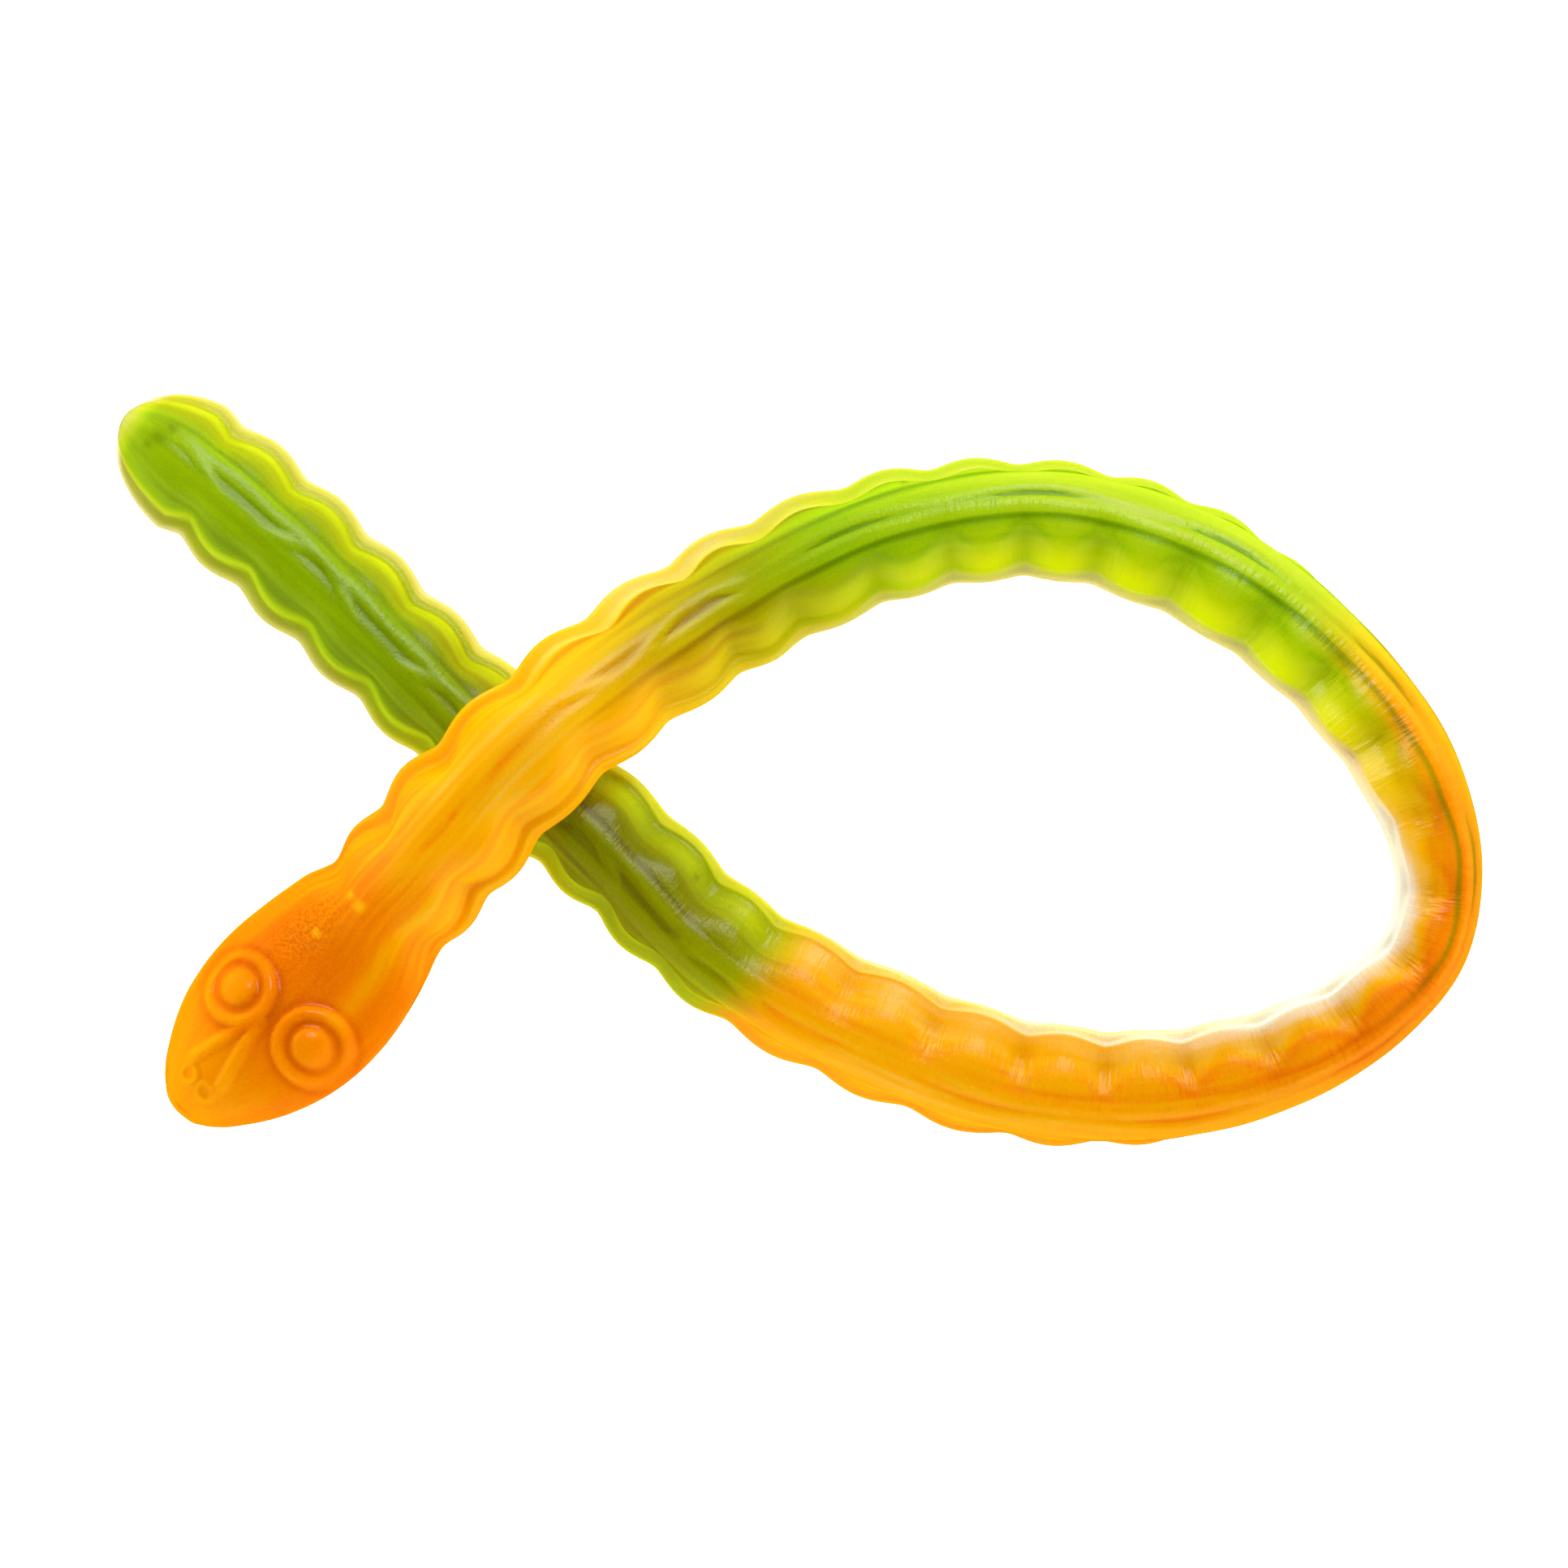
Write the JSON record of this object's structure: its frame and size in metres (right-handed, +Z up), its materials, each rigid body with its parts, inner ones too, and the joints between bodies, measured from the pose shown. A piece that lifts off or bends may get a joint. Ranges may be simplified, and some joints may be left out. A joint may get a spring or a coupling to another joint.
{
  "type": "gummy snake candy",
  "caption": "Moulded two-colour jelly snake with lobed sides and a flat back, bent into a loop with its head lying across its tail.",
  "frame": {"origin": "middle of the bounding box at the height of the table the snake lies on", "axes": "+X along the length of the looped snake, from the head and tail towards the closed end of the loop; +Z up from the table; +Y towards the side the tail's tip is on"},
  "size_m": [0.1526, 0.0844, 0.0176],
  "materials": {
    "jelly": "glossy translucent jelly, orange at the head and along the bottom of the loop, green at the tail and along the top"
  },
  "bodies": {
    "root": {"snake": "jelly"}
  },
  "joints": []
}
